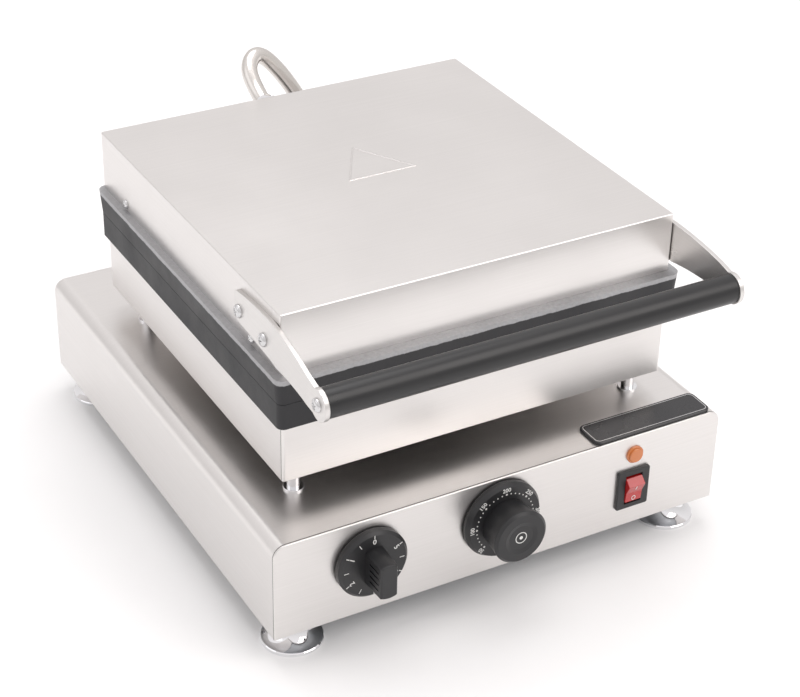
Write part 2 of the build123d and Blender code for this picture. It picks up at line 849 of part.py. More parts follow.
def route_radii(route):
    """Arc radius at each inner corner: 0.45 of the shorter run over the tangent of half the turn."""
    radii = []
    for before, here, after in zip(route, route[1:], route[2:]):
        run_in = Vector(*here) - Vector(*before)
        run_out = Vector(*after) - Vector(*here)
        turn = run_in.get_angle(run_out)
        radii.append(0.45 * min(run_in.length, run_out.length) / tan(radians(turn / 2)))
    return radii


conduit_radii = route_radii(conduit_route)
print("conduit radii", [round(r, 1) for r in conduit_radii])
with BuildPart() as conduit:
    with BuildLine() as conduit_path:
        FilletPolyline(*conduit_route, radius=conduit_radii)
    with BuildSketch(Plane(conduit_route[0], x_dir=(1, 0, 0),
                           z_dir=Vector(*conduit_route[1]) - Vector(*conduit_route[0]))):
        Circle(conduit_radius)
    sweep(path=conduit_path.line)
    with BuildSketch(facing(lid_gland_face)):
        with Locations((lid_gland_x, lid_gland_z)):
            Circle(2 * conduit_radius)
    extrude(amount=2 * conduit_radius, mode=Mode.SUBTRACT)
conduit_length = sum(edge.length for edge in conduit_path.edges())
full_volume = conduit_length * pi * conduit_radius ** 2
print("conduit length", round(conduit_length, 1), "volume share", round(conduit.part.volume / full_volume, 4))
write(conduit, "conduit")

with BuildPart() as lid_gland:
    with BuildSketch(facing(cover_rear)):
        with Locations((lid_gland_x, lid_gland_z)):
            RegularPolygon(gland_radius, 6)
    extrude(amount=-gland_nut)
    with BuildSketch(facing(cover_rear + gland_nut)):
        with Locations((lid_gland_x, lid_gland_z)):
            Circle(gland_radius - 1.5)
    extrude(amount=gland_nut - gland_length)
    with BuildSketch(facing(lid_gland_face)):
        with Locations((lid_gland_x, lid_gland_z)):
            Circle(conduit_radius - 1.5)
    extrude(amount=gland_length, mode=Mode.SUBTRACT)
write(lid_gland, "lid_gland")

with BuildPart() as base_gland:
    with BuildSketch(Plane.XY.offset(base_top)):
        with Locations(base_gland_at):
            RegularPolygon(gland_radius + 1.5, 6)
    extrude(amount=base_gland_nut)
    with BuildSketch(Plane.XY.offset(base_top + base_gland_nut)):
        with Locations(base_gland_at):
            Circle(gland_radius)
    extrude(amount=base_gland_height - base_gland_nut)
write(base_gland, "base_gland")

# Timer: clockwork body behind the front plate, shaft and knob
timer_centre = (timer_x, foot_height + timer_z)
thermostat_centre = (thermostat_x, foot_height + thermostat_z)
panel_back = front + sheet


def control_body(centre, size, depth, bush):
    """Block behind the front plate with a threaded bush through it."""
    with BuildPart() as body:
        with BuildSketch(facing(panel_back)):
            with Locations(centre):
                RectangleRounded(*size, 3)
        extrude(amount=-depth)
        with BuildSketch(facing(front - knob_gap + 0.5)):
            with Locations(centre):
                Circle(bush)
        extrude(amount=-(sheet + knob_gap))
        with BuildSketch(facing(front - knob_gap)):
            with Locations(centre):
                Circle(shaft_radius + hinge_fit)
        extrude(amount=-(sheet + knob_gap + 16), mode=Mode.SUBTRACT)
    return body


timer_body = control_body(timer_centre, (46, 46), 38, knob_hole - 0.1)
write(timer_body, "timer_body")
thermostat_body = control_body(thermostat_centre, (40, 46), 32, knob_hole - 0.1)
write(thermostat_body, "thermostat_body")


def shaft(centre):
    """Turning shaft from inside the body to inside the knob."""
    with BuildPart() as rod:
        with BuildSketch(facing(front - 16)):
            with Locations(centre):
                Circle(shaft_radius)
        extrude(amount=-(16 + sheet + 12))
    return rod


write(shaft(timer_centre), "timer_shaft")
write(shaft(thermostat_centre), "thermostat_shaft")

skirt_back = front - knob_gap
skirt_front = skirt_back - skirt_thickness
grip_half = 6.5
with BuildPart() as timer_knob:
    with BuildSketch(facing(skirt_back)):
        with Locations(timer_centre):
            Circle(timer_skirt)
    extrude(amount=skirt_thickness)
    chamfer(timer_knob.faces().sort_by(Axis.Y)[0].edges(), 2.0)
    with BuildSketch(facing(skirt_front)):
        with Locations(timer_centre):
            Circle(13.5)
            Rectangle(2 * grip_half, 40, mode=Mode.INTERSECT)
    extrude(amount=knob_reach - 0.5 - knob_gap - skirt_thickness, taper=1.5)
    fillet(timer_knob.faces().sort_by(Axis.Y)[0].edges(), 1.2)
    for s in (-1, 1):
        with BuildSketch(side(timer_x + s * grip_half)):
            with Locations((skirt_front - 11, timer_centre[1])):
                with GridLocations(0, 4.5, 1, 4):
                    Rectangle(11, 1.3)
        extrude(amount=-s * 0.9, mode=Mode.SUBTRACT)
    with BuildSketch(facing(skirt_back)):
        with Locations(timer_centre):
            Circle(shaft_radius + 0.02)
    extrude(amount=16, mode=Mode.SUBTRACT)
write(timer_knob, "timer_knob")

grip_root = 17.0
grip_face = 19.7
with BuildPart() as thermostat_knob:
    x, z = thermostat_centre
    face = front - knob_reach
    with BuildSketch(Plane.XY.offset(z)):
        with BuildLine():
            Polyline((x, skirt_back), (x + thermostat_skirt, skirt_back),
                     (x + thermostat_skirt, skirt_back - 2.5), (x + thermostat_skirt - 2.0, skirt_front),
                     (x + grip_root, skirt_front), (x + grip_face, face + 2.0), (x + grip_face - 2.0, face),
                     (x + 12, face), (x + 9, face + 0.9), (x, face + 1.1), (x, skirt_back))
        make_face()
    revolve(axis=Axis((x, 0, z), (0, 1, 0)))
    fillet(thermostat_knob.edges().filter_by(GeomType.CIRCLE).group_by(SortBy.RADIUS)[-3], 0.5)
    with BuildSketch(facing(skirt_back)):
        with Locations(thermostat_centre):
            Circle(shaft_radius + 0.02)
    extrude(amount=16, mode=Mode.SUBTRACT)
write(thermostat_knob, "thermostat_knob")

# Sensor bulb under the lower casting, in the free strip behind the last row of cavities
bulb_radius = 3.0
with BuildPart() as sensor_bulb:
    with BuildSketch(side(-40)):
        with Locations((plate_y + 2 * cavity_pitch, housing_top - bulb_radius - 0.1)):
            Circle(bulb_radius)
    extrude(amount=80)
write(sensor_bulb, "sensor_bulb")

# Rocker switch, stored with its lower half pressed
switch_centre = (switch_x, foot_height + switch_z)
window = (13.6, 23.0)
bezel_depth = 2.4
rocker_pin = 1.5
rocker_tilt = 15.0
rocker_axis = (front + 3.2, foot_height + switch_z)
rocker_half = window[0] / 2 - clearance
pin_reach = 1.6
with BuildPart() as switch_body:
    with BuildSketch(facing(front - bezel_depth)):
        with Locations(switch_centre):
            RectangleRounded(switch_width, switch_height, 1.5)
    extrude(amount=-bezel_depth)
    fillet(switch_body.faces().sort_by(Axis.Y)[0].edges(), 0.6)
    with BuildSketch(facing(front)):
        with Locations(switch_centre):
            Rectangle(switch_hole[0] - 0.4, switch_hole[1] - 0.4)
    extrude(amount=-24)
    with BuildSketch(facing(front - bezel_depth)):
        with Locations(switch_centre):
            Rectangle(*window)
    extrude(amount=-16, mode=Mode.SUBTRACT)
    pin_room = rocker_half + pin_reach + 0.2
    with BuildSketch(side(switch_x - pin_room)):
        with Locations(rocker_axis):
            Circle(rocker_pin + hinge_fit)
    extrude(amount=2 * pin_room, mode=Mode.SUBTRACT)
write(switch_body, "switch_body")

tilted = Plane(origin=(switch_x, *rocker_axis), z_dir=(1, 0, 0),
               x_dir=(0, cos(radians(rocker_tilt)), sin(radians(rocker_tilt))))
with BuildPart() as switch_rocker:
    with BuildSketch(tilted.offset(-rocker_half)):
        with BuildLine():
            Polyline((2.5, -8.4), (-3, -10.5), (-8.6, -7.5), (-7.4, 0), (-8.6, 7.5), (-3, 10.5), (2.5, 8.4),
                     (4.5, 3), (4.5, -3), close=True)
        make_face()
    extrude(amount=2 * rocker_half)
    fillet(switch_rocker.faces().filter_by(Axis.X).edges(), 0.4)
    with BuildSketch(tilted.offset(-rocker_half - pin_reach)):
        Circle(rocker_pin)
    extrude(amount=2 * (rocker_half + pin_reach))
write(switch_rocker, "switch_rocker")

# Signal lamp
lamp_centre = (switch_x, foot_height + lamp_z)
with BuildPart() as lamp_lens:
    with BuildSketch(facing(front)):
        with Locations(lamp_centre):
            Circle(lamp_radius)
    extrude(amount=3.6)
    fillet(lamp_lens.faces().sort_by(Axis.Y)[0].edges(), 1.2)
write(lamp_lens, "lamp_lens")
with BuildPart() as lamp_body:
    with BuildSketch(facing(front)):
        with Locations(lamp_centre):
            Circle(lamp_hole - 0.1)
    extrude(amount=-18)
write(lamp_body, "lamp_body")

# Plain badge on the top of the base
badge_x = 116.5
with BuildPart() as badge:
    with BuildSketch(Plane.XY.offset(base_top)):
        with Locations((badge_x, front + 13.5)):
            RectangleRounded(94, 24, 5)
    extrude(amount=2.0)
    chamfer(badge.faces().sort_by(Axis.Z)[-1].edges(), 0.5)
write(badge, "badge")

# Mains inlet gland and earth screw on the rear plate
with BuildPart() as inlet_gland:
    with BuildSketch(facing(rear)):
        with Locations((inlet_x, foot_height + inlet_z)):
            RegularPolygon(12, 6)
    extrude(amount=-6)
    with BuildSketch(facing(rear + 6)):
        with Locations((inlet_x, foot_height + inlet_z)):
            Circle(9)
    extrude(amount=-(inlet_reach - 6), taper=6)
    with BuildSketch(facing(rear)):
        with Locations((inlet_x, foot_height + inlet_z)):
            Circle(inlet_hole - 0.1)
    extrude(amount=10)
    with BuildSketch(facing(rear + inlet_reach)):
        with Locations((inlet_x, foot_height + inlet_z)):
            Circle(4.5)
    extrude(amount=inlet_reach + 10, mode=Mode.SUBTRACT)
write(inlet_gland, "inlet_gland")

with BuildPart() as earth_screw:
    with BuildSketch(facing(rear)):
        with Locations((inlet_x + 32, foot_height + inlet_z)):
            RegularPolygon(4.6, 6)
    extrude(amount=-3.5)
    with BuildSketch(facing(rear)):
        with Locations((inlet_x + 32, foot_height + inlet_z)):
            Circle(2.0)
    extrude(amount=10)
write(earth_screw, "earth_screw")

with BuildPart() as terminal_block:
    with BuildSketch(Plane.XY.offset(bottom_z + sheet)):
        with Locations((inlet_x - 30, rear - 70)):
            Rectangle(60, 24)
    extrude(amount=20)
    with BuildSketch(Plane.XY.offset(bottom_z + sheet + 20)):
        with Locations((inlet_x - 30, rear - 70)):
            with GridLocations(14, 0, 4, 1):
                Circle(3.2)
    extrude(amount=-8, mode=Mode.SUBTRACT)
write(terminal_block, "terminal_block")
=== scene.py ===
import bpy, bmesh, json, math
from mathutils import Matrix, Vector


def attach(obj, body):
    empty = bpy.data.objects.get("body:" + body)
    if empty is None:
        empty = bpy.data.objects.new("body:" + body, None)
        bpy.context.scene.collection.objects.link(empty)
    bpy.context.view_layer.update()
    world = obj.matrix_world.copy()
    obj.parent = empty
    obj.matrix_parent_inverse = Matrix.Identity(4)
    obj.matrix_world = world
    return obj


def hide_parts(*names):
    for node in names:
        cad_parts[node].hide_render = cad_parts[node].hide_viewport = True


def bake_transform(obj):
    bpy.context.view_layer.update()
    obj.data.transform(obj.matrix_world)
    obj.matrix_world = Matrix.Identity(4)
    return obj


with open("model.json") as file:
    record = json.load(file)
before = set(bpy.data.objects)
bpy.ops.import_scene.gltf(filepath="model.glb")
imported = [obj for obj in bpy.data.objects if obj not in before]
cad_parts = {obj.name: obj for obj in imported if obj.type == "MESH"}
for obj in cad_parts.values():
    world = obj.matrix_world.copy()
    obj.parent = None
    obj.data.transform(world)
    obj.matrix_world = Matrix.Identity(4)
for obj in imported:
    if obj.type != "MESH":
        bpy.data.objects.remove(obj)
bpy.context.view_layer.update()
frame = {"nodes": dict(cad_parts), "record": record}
nodes = frame["nodes"]

# Places in millimetres, as in the solids
FRONT = -177.7
REAR = 196.3
FOOT = 21.0
BASE_TOP = 93.5
HOUSING_TOP = 153.9
PARTING = 172.05
RIM_TOP = 190.2
HANDLE_Y = FRONT - 22.0
HANDLE_Z = RIM_TOP + 16.2
TIMER = (-102.6, FOOT + 41.0)
THERMOSTAT = (-5.4, FOOT + 42.0)
SKIRT_FRONT = FRONT - 7.0
SWITCH = (100.3, FOOT + 30.8)
LAMP = (100.3, FOOT + 57.8)


def m(*v):
    return Vector([x / 1000 for x in v])


# Camera
cam = bpy.data.objects.new("camera", bpy.data.cameras.new("camera"))
bpy.context.scene.collection.objects.link(cam)
cam.data.sensor_width = 36.0
cam.data.lens = 90.79
cam.data.clip_start = 0.05
cam.data.clip_end = 30
right = Vector((0.87377566, -0.48593269, 0.01963459))
up = Vector((0.24023919, 0.46638308, 0.8513354))
back = Vector((-0.42284894, -0.73915915, 0.52425426))
world = Matrix((right, up, back)).transposed().to_4x4()
world.translation = m(-595.9, -895.5 + FRONT, 828.3 + FOOT)
cam.matrix_world = world
bpy.context.scene.camera = cam


# Node helpers
def shader(name):
    mat = bpy.data.materials.new(name)
    mat.use_nodes = True
    tree = mat.node_tree
    bsdf = tree.nodes["Principled BSDF"]
    return mat, tree, bsdf


def noise(tree, scale, detail=4.0, rough=0.55, stretch=(1, 1, 1)):
    co = tree.nodes.new("ShaderNodeTexCoord")
    mp = tree.nodes.new("ShaderNodeMapping")
    mp.inputs["Scale"].default_value = stretch
    nz = tree.nodes.new("ShaderNodeTexNoise")
    nz.inputs["Scale"].default_value = scale
    nz.inputs["Detail"].default_value = detail
    nz.inputs["Roughness"].default_value = rough
    tree.links.new(co.outputs["Object"], mp.inputs["Vector"])
    tree.links.new(mp.outputs["Vector"], nz.inputs["Vector"])
    return nz.outputs["Fac"]


def remap(tree, value, low, high, from_low=0.3, from_high=0.7):
    mr = tree.nodes.new("ShaderNodeMapRange")
    mr.inputs["From Min"].default_value = from_low
    mr.inputs["From Max"].default_value = from_high
    mr.inputs["To Min"].default_value = low
    mr.inputs["To Max"].default_value = high
    tree.links.new(value, mr.inputs["Value"])
    return mr.outputs["Result"]


def mix(tree, fac, a, b):
    mx = tree.nodes.new("ShaderNodeMix")
    mx.data_type = "RGBA"
    for socket, v in ((mx.inputs[6], a), (mx.inputs[7], b)):
        if isinstance(v, bpy.types.NodeSocket):
            tree.links.new(v, socket)
        else:
            socket.default_value = (*v, 1)
    tree.links.new(fac, mx.inputs[0])
    return mx.outputs[2]


def bump(tree, bsdf, height, strength, distance, previous=None):
    bp = tree.nodes.new("ShaderNodeBump")
    bp.inputs["Strength"].default_value = strength
    bp.inputs["Distance"].default_value = distance
    tree.links.new(height, bp.inputs["Height"])
    if previous is not None:
        tree.links.new(previous, bp.inputs["Normal"])
    tree.links.new(bp.outputs["Normal"], bsdf.inputs["Normal"])
    return bp.outputs["Normal"]


def plain(name, colour, other, rough, spread=0.06, metallic=0.0, scale=600.0, height=0.00004, strength=0.4,
          stretch=(1, 1, 1), **values):
    """A surface with fine grain: two near colours, uneven roughness and a small bump."""
    mat, tree, bsdf = shader(name)
    grain = noise(tree, scale, stretch=stretch)
    cloud = noise(tree, 22.0, 3.0)
    tree.links.new(mix(tree, cloud, colour, other), bsdf.inputs["Base Color"])
    tree.links.new(remap(tree, cloud, rough - spread, rough + spread), bsdf.inputs["Roughness"])
    bsdf.inputs["Metallic"].default_value = metallic
    bump(tree, bsdf, grain, strength, height)
    for key, value in values.items():
        bsdf.inputs[key].default_value = value
    return mat


def brushed(name, colour, other, rough, top="x"):
    """Brushed sheet: lines run level on upright faces and along top on level ones."""
    mat, tree, bsdf = shader(name)
    upright = noise(tree, 1.0, 3.0, 0.6, (14, 14, 1500))
    level = noise(tree, 1.0, 3.0, 0.6, (10, 1500, 10) if top == "x" else (1500, 10, 10))
    geo = tree.nodes.new("ShaderNodeNewGeometry")
    sep = tree.nodes.new("ShaderNodeSeparateXYZ")
    tree.links.new(geo.outputs["Normal"], sep.inputs[0])
    ab = tree.nodes.new("ShaderNodeMath")
    ab.operation = "ABSOLUTE"
    tree.links.new(sep.outputs["Z"], ab.inputs[0])
    lines = mix(tree, remap(tree, ab.outputs[0], 0, 1, 0.45, 0.75), upright, level)
    cloud = noise(tree, 7.0, 3.0)
    smear = noise(tree, 34.0, 5.0, 0.6)
    tree.links.new(mix(tree, lines, colour, other), bsdf.inputs["Base Color"])
    add = tree.nodes.new("ShaderNodeMath")
    add.operation = "MULTIPLY_ADD"
    add.inputs[1].default_value = 0.10
    tree.links.new(lines, add.inputs[0])
    tree.links.new(remap(tree, cloud, rough - 0.08, rough + 0.02), add.inputs[2])
    add2 = tree.nodes.new("ShaderNodeMath")
    add2.operation = "MULTIPLY_ADD"
    add2.inputs[1].default_value = 0.05
    tree.links.new(smear, add2.inputs[0])
    tree.links.new(add.outputs[0], add2.inputs[2])
    tree.links.new(add2.outputs[0], bsdf.inputs["Roughness"])
    bsdf.inputs["Metallic"].default_value = 1.0
    bv = tree.nodes.new("ShaderNodeBevel")
    bv.samples = 4
    bv.inputs["Radius"].default_value = 0.0006
    bump(tree, bsdf, lines, 0.13, 0.00003, bv.outputs["Normal"])
    return mat


def casting(name, rim):
    """Coated casting: dark skin with a coarse grain; above rim (m) the cast metal is bare along an uneven edge,
    but not inside the cavities, whose surface faces down."""
    mat, tree, bsdf = shader(name)
    coarse = noise(tree, 420.0, 6.0, 0.65)
    cloud = noise(tree, 30.0, 4.0)
    dark = mix(tree, cloud, (0.010, 0.010, 0.012), (0.022, 0.022, 0.025))
    co = tree.nodes.new("ShaderNodeTexCoord")
    sep = tree.nodes.new("ShaderNodeSeparateXYZ")
    tree.links.new(co.outputs["Object"], sep.inputs[0])
    wave = noise(tree, 48.0, 7.0, 0.75)
    shift = tree.nodes.new("ShaderNodeMath")
    shift.operation = "MULTIPLY_ADD"
    shift.inputs[1].default_value = 0.0036
    tree.links.new(wave, shift.inputs[0])
    tree.links.new(sep.outputs["Z"], shift.inputs[2])
    above = remap(tree, shift.outputs[0], 0, 1, rim + 0.0008, rim + 0.0014)
    facing = tree.nodes.new("ShaderNodeSeparateXYZ")
    tree.links.new(co.outputs["Normal"], facing.inputs[0])
    outside = tree.nodes.new("ShaderNodeMath")
    outside.operation = "MULTIPLY"
    tree.links.new(above, outside.inputs[0])
    tree.links.new(remap(tree, facing.outputs["Z"], 0, 1, -0.25, -0.1), outside.inputs[1])
    bare = outside.outputs[0]
    scuffed = mix(tree, coarse, (0.30, 0.30, 0.31), (0.52, 0.52, 0.53))
    tree.links.new(mix(tree, bare, dark, scuffed), bsdf.inputs["Base Color"])
    tree.links.new(remap(tree, bare, 0.0, 0.85, 0, 1), bsdf.inputs["Metallic"])
    tree.links.new(remap(tree, cloud, 0.44, 0.60), bsdf.inputs["Roughness"])
    bump(tree, bsdf, coarse, 0.5, 0.00018)
    return mat


# Light and dark of the brushed sheet, its roughness and the way its lines run on level faces
STEEL = ((0.79, 0.768, 0.755), (0.725, 0.705, 0.69), 0.30, "x")
steel_x = brushed("steel_along_x", *STEEL)
bracket_steel = brushed("bracket_steel", (0.76, 0.74, 0.725), (0.66, 0.645, 0.63), 0.28, "y")
zinc = plain("zinc_sheet", (0.50, 0.52, 0.54), (0.62, 0.63, 0.64), 0.42, metallic=1.0, scale=160.0)
chrome = plain("chrome", (0.86, 0.86, 0.87), (0.80, 0.80, 0.82), 0.06, 0.03, metallic=1.0, scale=60.0,
               strength=0.04)
screw_steel = plain("screw_steel", (0.72, 0.72, 0.72), (0.60, 0.60, 0.61), 0.24, metallic=1.0, scale=900.0)
hinge_steel = plain("hinge_steel", (0.55, 0.55, 0.55), (0.64, 0.63, 0.62), 0.36, metallic=1.0, scale=700.0,
                    stretch=(0.05, 1, 1))
hose_steel = plain("hose_steel", (0.66, 0.63, 0.60), (0.76, 0.73, 0.70), 0.24, metallic=1.0, scale=500.0)
sheath = plain("element_sheath", (0.12, 0.11, 0.10), (0.22, 0.20, 0.18), 0.5, metallic=0.9, scale=300.0)
fibre = plain("fibre_pad", (0.80, 0.78, 0.72), (0.90, 0.89, 0.85), 0.95, 0.03, scale=260.0, height=0.0008,
              strength=0.8)
control = plain("control_plastic", (0.55, 0.50, 0.38), (0.62, 0.58, 0.47), 0.5, scale=500.0)
copper = plain("copper", (0.72, 0.38, 0.24), (0.60, 0.30, 0.18), 0.3, metallic=1.0, scale=300.0)
black = plain("black_plastic", (0.012, 0.012, 0.013), (0.022, 0.022, 0.024), 0.38, scale=1400.0, strength=0.35)
badge_black = plain("badge_black", (0.018, 0.018, 0.020), (0.028, 0.028, 0.031), 0.26, scale=1200.0, strength=0.15)
handle_black = plain("handle_black", (0.010, 0.010, 0.011), (0.018, 0.018, 0.019), 0.33, scale=900.0,
                     stretch=(0.04, 1, 1), strength=0.3)
brass = plain("brass", (0.80, 0.60, 0.26), (0.70, 0.50, 0.20), 0.28, metallic=1.0, scale=400.0)
ceramic = plain("terminal_ceramic", (0.84, 0.81, 0.75), (0.90, 0.88, 0.83), 0.25, scale=200.0)
alloy = plain("plug_aluminium", (0.78, 0.78, 0.79), (0.70, 0.70, 0.71), 0.32, metallic=1.0, scale=700.0,
              stretch=(1, 0.1, 0.1))
amber = plain("amber_lens", (0.58, 0.18, 0.045), (0.50, 0.15, 0.04), 0.2, 0.04, scale=900.0, height=0.00015,
              strength=0.6)
red = plain("red_rocker", (0.46, 0.012, 0.014), (0.38, 0.008, 0.010), 0.16, 0.04, scale=700.0, strength=0.1)
white_print = plain("white_print", (0.80, 0.80, 0.78), (0.68, 0.68, 0.66), 0.55, scale=1500.0)
silver_line = plain("silver_line", (0.72, 0.72, 0.72), (0.60, 0.60, 0.60), 0.3, metallic=1.0, scale=900.0)
# Faint emission: the amber lens is a lamp and glows as one; the glow on the red rocker is painted glow, since the
# switch is no lamp
for glow, colour, power in ((amber, (1.0, 0.32, 0.08), 0.03), (red, (1.0, 0.03, 0.02), 0.03)):
    b = glow.node_tree.nodes["Principled BSDF"]
    b.inputs["Emission Color"].default_value = (*colour, 1)
    b.inputs["Emission Strength"].default_value = power
    b.inputs["Coat Weight"].default_value = 0.6


def seam(mat, at):
    """A dark joint line across a sheet at one distance from front to back, in metres."""
    tree = mat.node_tree
    socket = tree.nodes["Principled BSDF"].inputs["Base Color"]
    before = socket.links[0].from_socket
    co = tree.nodes.new("ShaderNodeTexCoord")
    sep = tree.nodes.new("ShaderNodeSeparateXYZ")
    tree.links.new(co.outputs["Object"], sep.inputs[0])
    near = tree.nodes.new("ShaderNodeMath")
    near.operation = "COMPARE"
    near.inputs[1].default_value = at
    near.inputs[2].default_value = 0.00035
    tree.links.new(sep.outputs["Y"], near.inputs[0])
    tree.links.new(mix(tree, near.outputs[0], before, (0.06, 0.055, 0.05)), socket)
    return mat


housing_front = min(v.co.y for v in nodes["lower_housing"].data.vertices)
base_steel = seam(brushed("base_steel", *STEEL), FRONT / 1000 + 0.0014)
housing_steel = seam(brushed("housing_steel", *STEEL), housing_front + 0.0022)
lower_cast = casting("lower_casting", 1.0)
upper_cast = casting("upper_casting", RIM_TOP / 1000 - 0.0028)

by_slot = {
    "stainless_sheet": steel_x, "bracket_steel": bracket_steel, "steel_hose": hose_steel,
    "hinge_steel": hinge_steel, "screw_steel": screw_steel, "zinc_sheet": zinc, "coated_casting": lower_cast,
    "chrome_plate": chrome, "element_sheath": sheath, "fibre_pad": fibre, "control_plastic": control,
    "copper_bulb": copper, "black_plastic": black, "amber_lens": amber, "red_rocker": red,
    "badge_black": badge_black, "brass_screw": brass, "terminal_ceramic": ceramic, "handle_black": handle_black,
    "plug_aluminium": alloy,
}
by_node = {"upper_mould_plate": upper_cast, "base_wrap": base_steel, "lower_housing": housing_steel}
for entry in frame["record"]["subparts"]:
    o = nodes[entry["node"]]
    o.data.materials.clear()
    o.data.materials.append(by_node.get(entry["node"], by_slot[entry["material_slot"]]))


# Mesh helpers
def mesh_object(name, verts, faces, mat, smooth=True):
    data = bpy.data.meshes.new(name)
    data.from_pydata([tuple(v) for v in verts], [], faces)
    data.materials.append(mat)
    o = bpy.data.objects.new(name, data)
    bpy.context.scene.collection.objects.link(o)
    bm = bmesh.new()
    bm.from_mesh(data)
    bmesh.ops.remove_doubles(bm, verts=bm.verts, dist=1e-7)
    bmesh.ops.recalc_face_normals(bm, faces=bm.faces)
    bm.to_mesh(data)
    bm.free()
    if smooth:
        data.shade_smooth()
        data.set_sharp_from_angle(angle=math.radians(32))
    return o


def turn_to(axis):
    return Vector((0, 0, 1)).rotation_difference(Vector(axis)).to_matrix()


def lathe(profile, origin, axis, sides=48):
    """Vertices and faces of a profile of (radius, height) in mm turned round axis at origin in mm."""
    rot = turn_to(axis)
    verts, faces = [], []
    for r, h in profile:
        for k in range(sides):
            a = 2 * math.pi * k / sides
            verts.append((rot @ Vector((r * math.cos(a), r * math.sin(a), h)) + Vector(origin)) / 1000)
    n = len(profile)
    for i in range(n - 1):
        for k in range(sides):
            k2 = (k + 1) % sides
            faces.append((i * sides + k, i * sides + k2, (i + 1) * sides + k2, (i + 1) * sides + k))
    return verts, faces


def gather(parts):
    verts, faces = [], []
    for v, f in parts:
        n = len(verts)
        verts += v
        faces += [tuple(i + n for i in face) for face in f]
    return verts, faces


def screw_mesh(r, h, shank, length):
    """One screw with a domed head and a cross recess, head up, seat at zero; returns (verts, faces) in mm."""
    profile = [(0, h), (0.25 * r, 0.985 * h), (0.5 * r, 0.93 * h), (0.74 * r, 0.79 * h), (0.9 * r, 0.58 * h),
               (0.985 * r, 0.3 * h), (r, 0.1 * h), (0.97 * r, 0), (shank, 0), (shank, -length + 0.6),
               (shank - 0.6, -length), (0, -length)]
    v, f = lathe(profile, (0, 0, 0), (0, 0, 1), 40)
    head = mesh_object("screw_blank", v, f, screw_steel)
    cut = bmesh.new()
    for a in (0, math.pi / 2):
        for half_w, half_l, depth in ((0.12 * r, 0.62 * r, 0.75 * h), (0.24 * r, 0.24 * r, 0.55 * h)):
            geo = bmesh.ops.create_cube(cut, size=2.0)["verts"]
            for vert in geo:
                x, y, z = vert.co
                taper = 1.0 if z > 0 else 0.45
                p = Vector((x * half_w * taper, y * half_l * taper, h * 1.2 if z > 0 else h - depth))
                vert.co = Matrix.Rotation(a + 0.5, 3, "Z") @ p / 1000
    data = bpy.data.meshes.new("cut")
    cut.to_mesh(data)
    cut.free()
    cutter = bpy.data.objects.new("cut", data)
    bpy.context.scene.collection.objects.link(cutter)
    md = head.modifiers.new("cut", "BOOLEAN")
    md.operation = "DIFFERENCE"
    md.solver = "EXACT"
    md.use_self = True
    md.object = cutter
    done = bpy.data.meshes.new_from_object(head.evaluated_get(bpy.context.evaluated_depsgraph_get()))
    out = [v.co * 1000 for v in done.vertices], [tuple(p.vertices) for p in done.polygons]
    for o in (head, cutter):
        bpy.data.objects.remove(o)
    return out


def screws(node, body, seats, r, h, shank, length):
    base_v, base_f = screw_mesh(r, h, shank, length)
    parts = []
    for k, (place, axis) in enumerate(seats):
        rot = turn_to(axis) @ Matrix.Rotation(1.3 * k, 3, "Z")
        parts.append(([(rot @ v + Vector(place)) / 1000 for v in base_v], base_f))
    v, f = gather(parts)
    o = mesh_object(node + "_turned", v, f, screw_steel)
    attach(o, body)
    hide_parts(node)


both = (-1, 1)
screws("bracket_screws", "lid",
       [((s * 147.3, FRONT + y, RIM_TOP + z), (s, 0, 0)) for s in both for y, z in ((91.6, 19.2), (56.4, 17.4))],
       4.6, 2.8, 2.5, 12)
screws("handle_screws", "lid", [((s * 150.5, HANDLE_Y, HANDLE_Z), (s, 0, 0)) for s in both], 4.6, 2.6, 2.5, 15)
screws("cover_screws", "lid",
       [((s * 144.3, FRONT + y, RIM_TOP + 4.8), (s, 0, 0)) for s in both for y in (79.6, 281.9)], 3.3, 2.2, 1.98, 8)
hinge_x = [sx * 85 + dx for sx in both for dx in (-24, 24)]
screws("hinge_screws", "base", [((x, FRONT + 325.2, HOUSING_TOP - 16), (0, 1, 0)) for x in hinge_x], 3.6, 2.2, 2, 9)
screws("hinge_lid_screws", "lid", [((x, FRONT + 331, PARTING + 10), (0, 1, 0)) for x in hinge_x], 3.6, 2.2, 2, 9)
screws("bottom_screws", "base",
       [((sx * 162.3, FRONT + 187 + sy * 127, FOOT), (0, 0, -1)) for sx in both for sy in both], 3.2, 1.8, 1.7, 8)

# Metal hose from the lid to the base
ROUTE = [(-12, FRONT + 333.8, 222.2), (-12, FRONT + 345.8, 226.2), (-13, FRONT + 362, 241),
         (1, FRONT + 372, 248), (21, FRONT + 368, 225), (39, FRONT + 359, 190), (40, REAR - 20, 141), (40, REAR - 20, 105.5)]


def route_curve(bevel):
    curve = bpy.data.curves.new("hose", "CURVE")
    curve.dimensions = "3D"
    curve.resolution_u = 14
    spline = curve.splines.new("NURBS")
    spline.points.add(len(ROUTE) - 1)
    for point, p in zip(spline.points, ROUTE):
        point.co = (*m(*p), 1)
    spline.order_u = 3
    spline.use_endpoint_u = True
    curve.bevel_depth = bevel
    curve.bevel_resolution = 8
    curve.use_fill_caps = True
    o = bpy.data.objects.new("hose", curve)
    bpy.context.scene.collection.objects.link(o)
    data = bpy.data.meshes.new_from_object(o.evaluated_get(bpy.context.evaluated_depsgraph_get()))
    bpy.data.objects.remove(o)
    return data


line = [v.co.copy() for v in route_curve(0.0).vertices]
tube = route_curve(0.006)
tube.materials.clear()
tube.materials.append(hose_steel)
tube.shade_smooth()
hose = bpy.data.objects.new("conduit_hose", tube)
bpy.context.scene.collection.objects.link(hose)
hose_length = sum((b - a).length for a, b in zip(line, line[1:]))
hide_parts("conduit")
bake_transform(hose)


